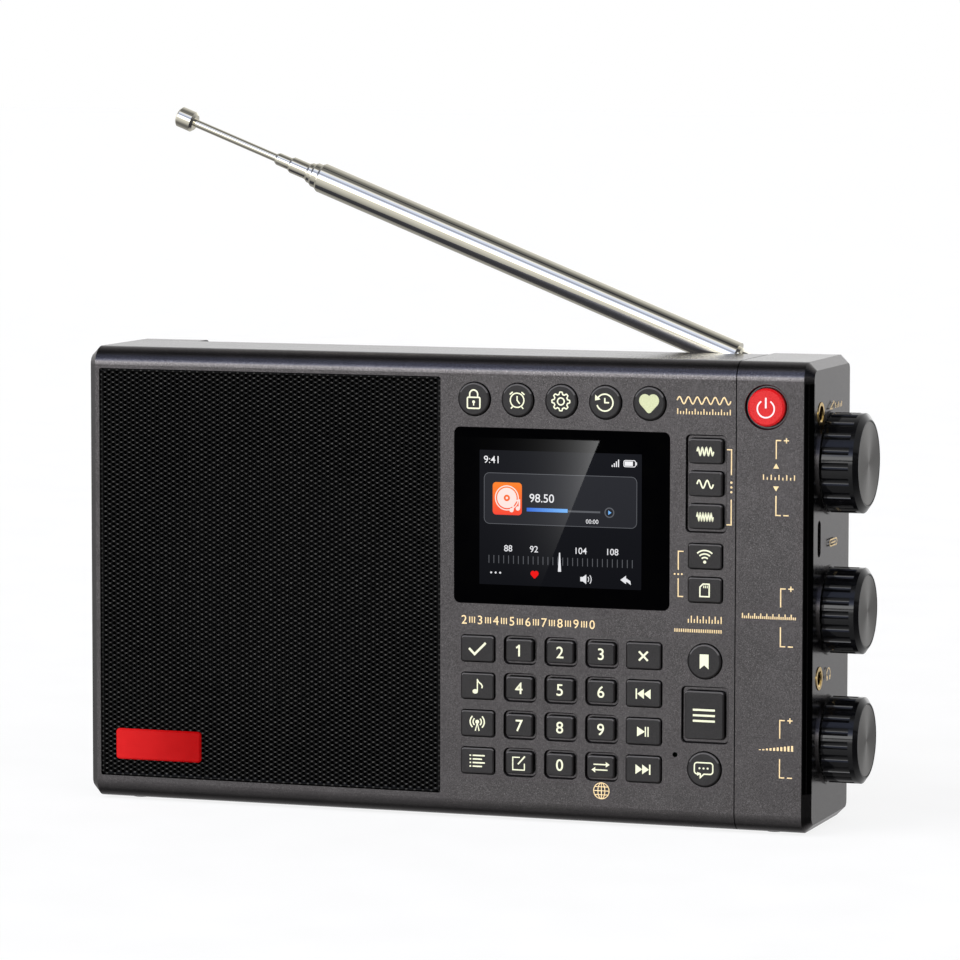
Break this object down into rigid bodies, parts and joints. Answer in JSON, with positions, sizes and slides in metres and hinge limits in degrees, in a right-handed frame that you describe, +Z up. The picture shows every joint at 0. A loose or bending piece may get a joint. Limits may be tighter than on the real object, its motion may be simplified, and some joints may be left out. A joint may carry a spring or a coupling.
{
  "type": "shortwave receiver",
  "caption": "Upright portable multi-band radio receiver with a speaker grille, colour display, push-button panel, side knobs and a folding telescopic aerial.",
  "frame": {"origin": "centre of the whole receiver's footprint, on the surface it stands on", "axes": "+X to the user's right along the cabinet's length, +Y from the front panel to the back, +Z up"},
  "size_m": [0.2208, 0.0429, 0.1945],
  "materials": {
    "cabinet_paint": "fine metallic paint",
    "key_plastic": "satin",
    "power_plastic": "gloss",
    "knob_plastic": "gloss, fluted",
    "grille_metal": "perforated, satin black",
    "badge_red": "gloss",
    "window_black": "gloss",
    "module_metal": "satin",
    "board_green": "satin",
    "speaker_black": "matte",
    "cell_wrap": "satin",
    "ferrite": "matte",
    "encoder_metal": "satin",
    "jack_brass": "gold plated",
    "socket_steel": "satin",
    "screw_steel": "blackened",
    "foot_rubber": "matte",
    "aerial_chrome": "polished"
  },
  "bodies": {
    "cabinet": {"front_housing": "cabinet_paint", "rear_cover": "cabinet_paint", "end_section": "cabinet_paint", "rubber_feet": "foot_rubber", "housing_screws": "screw_steel", "speaker_grille": "grille_metal", "badge": "badge_red", "display_window": "window_black", "display_module": "module_metal", "main_board": "board_green", "speaker": "speaker_black", "battery_pack": "cell_wrap", "ferrite_aerial": "ferrite", "rotary_encoders": "encoder_metal", "phone_jacks": "jack_brass", "usb_socket": "socket_steel"},
    "button_lock": {"button_lock": "key_plastic"},
    "button_alarm": {"button_alarm": "key_plastic"},
    "button_settings": {"button_settings": "key_plastic"},
    "button_history": {"button_history": "key_plastic"},
    "button_favourite": {"button_favourite": "key_plastic"},
    "key_confirm": {"key_confirm": "key_plastic"},
    "key_1": {"key_1": "key_plastic"},
    "key_2": {"key_2": "key_plastic"},
    "key_3": {"key_3": "key_plastic"},
    "key_clear": {"key_clear": "key_plastic"},
    "key_music": {"key_music": "key_plastic"},
    "key_4": {"key_4": "key_plastic"},
    "key_5": {"key_5": "key_plastic"},
    "key_6": {"key_6": "key_plastic"},
    "key_previous": {"key_previous": "key_plastic"},
    "key_broadcast": {"key_broadcast": "key_plastic"},
    "key_7": {"key_7": "key_plastic"},
    "key_8": {"key_8": "key_plastic"},
    "key_9": {"key_9": "key_plastic"},
    "key_play_pause": {"key_play_pause": "key_plastic"},
    "key_list": {"key_list": "key_plastic"},
    "key_edit": {"key_edit": "key_plastic"},
    "key_0": {"key_0": "key_plastic"},
    "key_mode": {"key_mode": "key_plastic"},
    "key_next": {"key_next": "key_plastic"},
    "key_band_1": {"key_band_1": "key_plastic"},
    "key_band_2": {"key_band_2": "key_plastic"},
    "key_band_3": {"key_band_3": "key_plastic"},
    "key_wireless": {"key_wireless": "key_plastic"},
    "key_card": {"key_card": "key_plastic"},
    "key_bookmark": {"key_bookmark": "key_plastic"},
    "key_menu": {"key_menu": "key_plastic"},
    "key_language": {"key_language": "key_plastic"},
    "power_button": {"power_button": "power_plastic"},
    "tuning_knob": {"tuning_knob": "knob_plastic"},
    "fine_tuning_knob": {"fine_tuning_knob": "knob_plastic"},
    "volume_knob": {"volume_knob": "knob_plastic"},
    "aerial_base": {"aerial_base": "aerial_chrome"},
    "aerial_tube_1": {"aerial_tube_1": "aerial_chrome"},
    "aerial_tube_2": {"aerial_tube_2": "aerial_chrome"},
    "aerial_tube_3": {"aerial_tube_3": "aerial_chrome"},
    "aerial_tube_4": {"aerial_tube_4": "aerial_chrome"},
    "aerial_tube_5": {"aerial_tube_5": "aerial_chrome"},
    "aerial_rod": {"aerial_rod": "aerial_chrome"}
  },
  "joints": [
    {"name": "aerial_swivel", "type": "hinge", "parent": "cabinet", "child": "aerial_base", "pos_m": [0.075, 0.01575, 0.12394], "axis": [0, 0, 1], "range_deg": [-90, 0]},
    {"name": "aerial_tilt", "type": "hinge", "parent": "aerial_base", "child": "aerial_tube_1", "pos_m": [0.075, 0.01575, 0.12394], "axis": [0, 1, 0], "range_deg": [-19, 68.48]},
    {"name": "aerial_tube_2_slide", "type": "slide", "parent": "aerial_tube_1", "child": "aerial_tube_2", "axis": [-0.9303, 0, 0.3668], "range_m": [0, 0.108]},
    {"name": "aerial_tube_3_slide", "type": "slide", "parent": "aerial_tube_2", "child": "aerial_tube_3", "axis": [-0.9303, 0, 0.3668], "range_m": [0, 0.108]},
    {"name": "aerial_tube_4_slide", "type": "slide", "parent": "aerial_tube_3", "child": "aerial_tube_4", "axis": [-0.9303, 0, 0.3668], "range_m": [-0.0042, 0.104]},
    {"name": "aerial_tube_5_slide", "type": "slide", "parent": "aerial_tube_4", "child": "aerial_tube_5", "axis": [-0.9303, 0, 0.3668], "range_m": [-0.003, 0.104]},
    {"name": "aerial_rod_slide", "type": "slide", "parent": "aerial_tube_5", "child": "aerial_rod", "axis": [-0.9303, 0, 0.3668], "range_m": [-0.0261, 0.08]},
    {"name": "tuning_knob_turn", "type": "hinge", "parent": "cabinet", "child": "tuning_knob", "pos_m": [0.1, -0.0015, 0.09995], "axis": [1, 0, 0], "continuous": true},
    {"name": "fine_tuning_knob_turn", "type": "hinge", "parent": "cabinet", "child": "fine_tuning_knob", "pos_m": [0.1, -0.0015, 0.0598], "axis": [1, 0, 0], "continuous": true},
    {"name": "volume_knob_turn", "type": "hinge", "parent": "cabinet", "child": "volume_knob", "pos_m": [0.1, -0.0015, 0.0244], "axis": [1, 0, 0], "continuous": true},
    {"name": "button_lock_press", "type": "slide", "parent": "cabinet", "child": "button_lock", "axis": [0, 1, 0], "range_m": [0, 0.0007], "stiffness_N_per_m": 900, "springref_m": -0.0006},
    {"name": "button_alarm_press", "type": "slide", "parent": "cabinet", "child": "button_alarm", "axis": [0, 1, 0], "range_m": [0, 0.0007], "stiffness_N_per_m": 900, "springref_m": -0.0006},
    {"name": "button_settings_press", "type": "slide", "parent": "cabinet", "child": "button_settings", "axis": [0, 1, 0], "range_m": [0, 0.0007], "stiffness_N_per_m": 900, "springref_m": -0.0006},
    {"name": "button_history_press", "type": "slide", "parent": "cabinet", "child": "button_history", "axis": [0, 1, 0], "range_m": [0, 0.0007], "stiffness_N_per_m": 900, "springref_m": -0.0006},
    {"name": "button_favourite_press", "type": "slide", "parent": "cabinet", "child": "button_favourite", "axis": [0, 1, 0], "range_m": [0, 0.0007], "stiffness_N_per_m": 900, "springref_m": -0.0006},
    {"name": "key_confirm_press", "type": "slide", "parent": "cabinet", "child": "key_confirm", "axis": [0, 1, 0], "range_m": [0, 0.0007], "stiffness_N_per_m": 900, "springref_m": -0.0006},
    {"name": "key_1_press", "type": "slide", "parent": "cabinet", "child": "key_1", "axis": [0, 1, 0], "range_m": [0, 0.0007], "stiffness_N_per_m": 900, "springref_m": -0.0006},
    {"name": "key_2_press", "type": "slide", "parent": "cabinet", "child": "key_2", "axis": [0, 1, 0], "range_m": [0, 0.0007], "stiffness_N_per_m": 900, "springref_m": -0.0006},
    {"name": "key_3_press", "type": "slide", "parent": "cabinet", "child": "key_3", "axis": [0, 1, 0], "range_m": [0, 0.0007], "stiffness_N_per_m": 900, "springref_m": -0.0006},
    {"name": "key_clear_press", "type": "slide", "parent": "cabinet", "child": "key_clear", "axis": [0, 1, 0], "range_m": [0, 0.0007], "stiffness_N_per_m": 900, "springref_m": -0.0006},
    {"name": "key_music_press", "type": "slide", "parent": "cabinet", "child": "key_music", "axis": [0, 1, 0], "range_m": [0, 0.0007], "stiffness_N_per_m": 900, "springref_m": -0.0006},
    {"name": "key_4_press", "type": "slide", "parent": "cabinet", "child": "key_4", "axis": [0, 1, 0], "range_m": [0, 0.0007], "stiffness_N_per_m": 900, "springref_m": -0.0006},
    {"name": "key_5_press", "type": "slide", "parent": "cabinet", "child": "key_5", "axis": [0, 1, 0], "range_m": [0, 0.0007], "stiffness_N_per_m": 900, "springref_m": -0.0006},
    {"name": "key_6_press", "type": "slide", "parent": "cabinet", "child": "key_6", "axis": [0, 1, 0], "range_m": [0, 0.0007], "stiffness_N_per_m": 900, "springref_m": -0.0006},
    {"name": "key_previous_press", "type": "slide", "parent": "cabinet", "child": "key_previous", "axis": [0, 1, 0], "range_m": [0, 0.0007], "stiffness_N_per_m": 900, "springref_m": -0.0006},
    {"name": "key_broadcast_press", "type": "slide", "parent": "cabinet", "child": "key_broadcast", "axis": [0, 1, 0], "range_m": [0, 0.0007], "stiffness_N_per_m": 900, "springref_m": -0.0006},
    {"name": "key_7_press", "type": "slide", "parent": "cabinet", "child": "key_7", "axis": [0, 1, 0], "range_m": [0, 0.0007], "stiffness_N_per_m": 900, "springref_m": -0.0006},
    {"name": "key_8_press", "type": "slide", "parent": "cabinet", "child": "key_8", "axis": [0, 1, 0], "range_m": [0, 0.0007], "stiffness_N_per_m": 900, "springref_m": -0.0006},
    {"name": "key_9_press", "type": "slide", "parent": "cabinet", "child": "key_9", "axis": [0, 1, 0], "range_m": [0, 0.0007], "stiffness_N_per_m": 900, "springref_m": -0.0006},
    {"name": "key_play_pause_press", "type": "slide", "parent": "cabinet", "child": "key_play_pause", "axis": [0, 1, 0], "range_m": [0, 0.0007], "stiffness_N_per_m": 900, "springref_m": -0.0006},
    {"name": "key_list_press", "type": "slide", "parent": "cabinet", "child": "key_list", "axis": [0, 1, 0], "range_m": [0, 0.0007], "stiffness_N_per_m": 900, "springref_m": -0.0006},
    {"name": "key_edit_press", "type": "slide", "parent": "cabinet", "child": "key_edit", "axis": [0, 1, 0], "range_m": [0, 0.0007], "stiffness_N_per_m": 900, "springref_m": -0.0006},
    {"name": "key_0_press", "type": "slide", "parent": "cabinet", "child": "key_0", "axis": [0, 1, 0], "range_m": [0, 0.0007], "stiffness_N_per_m": 900, "springref_m": -0.0006},
    {"name": "key_mode_press", "type": "slide", "parent": "cabinet", "child": "key_mode", "axis": [0, 1, 0], "range_m": [0, 0.0007], "stiffness_N_per_m": 900, "springref_m": -0.0006},
    {"name": "key_next_press", "type": "slide", "parent": "cabinet", "child": "key_next", "axis": [0, 1, 0], "range_m": [0, 0.0007], "stiffness_N_per_m": 900, "springref_m": -0.0006},
    {"name": "key_band_1_press", "type": "slide", "parent": "cabinet", "child": "key_band_1", "axis": [0, 1, 0], "range_m": [0, 0.0007], "stiffness_N_per_m": 900, "springref_m": -0.0006},
    {"name": "key_band_2_press", "type": "slide", "parent": "cabinet", "child": "key_band_2", "axis": [0, 1, 0], "range_m": [0, 0.0007], "stiffness_N_per_m": 900, "springref_m": -0.0006},
    {"name": "key_band_3_press", "type": "slide", "parent": "cabinet", "child": "key_band_3", "axis": [0, 1, 0], "range_m": [0, 0.0007], "stiffness_N_per_m": 900, "springref_m": -0.0006},
    {"name": "key_wireless_press", "type": "slide", "parent": "cabinet", "child": "key_wireless", "axis": [0, 1, 0], "range_m": [0, 0.0007], "stiffness_N_per_m": 900, "springref_m": -0.0006},
    {"name": "key_card_press", "type": "slide", "parent": "cabinet", "child": "key_card", "axis": [0, 1, 0], "range_m": [0, 0.0007], "stiffness_N_per_m": 900, "springref_m": -0.0006},
    {"name": "key_bookmark_press", "type": "slide", "parent": "cabinet", "child": "key_bookmark", "axis": [0, 1, 0], "range_m": [0, 0.0007], "stiffness_N_per_m": 900, "springref_m": -0.0006},
    {"name": "key_menu_press", "type": "slide", "parent": "cabinet", "child": "key_menu", "axis": [0, 1, 0], "range_m": [0, 0.0007], "stiffness_N_per_m": 900, "springref_m": -0.0006},
    {"name": "key_language_press", "type": "slide", "parent": "cabinet", "child": "key_language", "axis": [0, 1, 0], "range_m": [0, 0.0007], "stiffness_N_per_m": 900, "springref_m": -0.0006},
    {"name": "power_button_press", "type": "slide", "parent": "cabinet", "child": "power_button", "axis": [0, 1, 0], "range_m": [0, 0.0007], "stiffness_N_per_m": 900, "springref_m": -0.0006}
  ]
}
